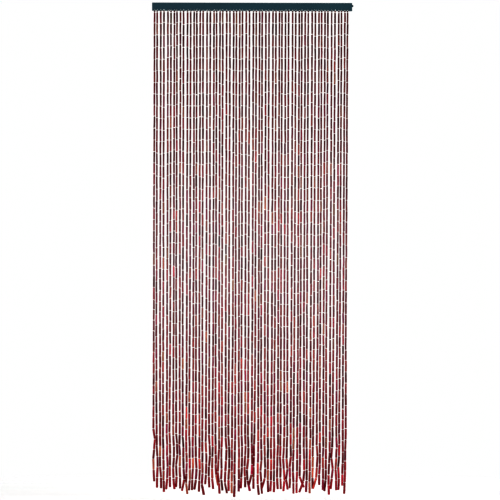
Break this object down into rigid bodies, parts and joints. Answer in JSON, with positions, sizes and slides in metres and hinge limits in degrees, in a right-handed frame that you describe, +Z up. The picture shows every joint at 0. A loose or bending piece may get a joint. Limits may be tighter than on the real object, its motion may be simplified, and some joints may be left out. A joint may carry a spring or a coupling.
{
  "type": "bead curtain with hanging rail",
  "caption": "Doorway curtain of dyed tube-bead strands that hang in pairs, linked by thin wire, from a straight painted wooden rail.",
  "frame": {"origin": "centre of the rail's flat back face, where it lies against the wall or door frame", "axes": "+X along the rail to the right as seen from the front, +Y out of the back face, +Z up; the strands hang towards -Z and the front faces -Y"},
  "size_m": [0.9059, 0.02, 2.223],
  "materials": {
    "rail_paint": "satin slate-teal paint over wood",
    "dyed_beads": "dyed and lacquered bamboo cane, near black to brick red",
    "steel_wire": "bright drawn wire"
  },
  "bodies": {
    "root": {"rail": "rail_paint", "end_button": "rail_paint", "strand_row": "dyed_beads"}
  },
  "joints": []
}
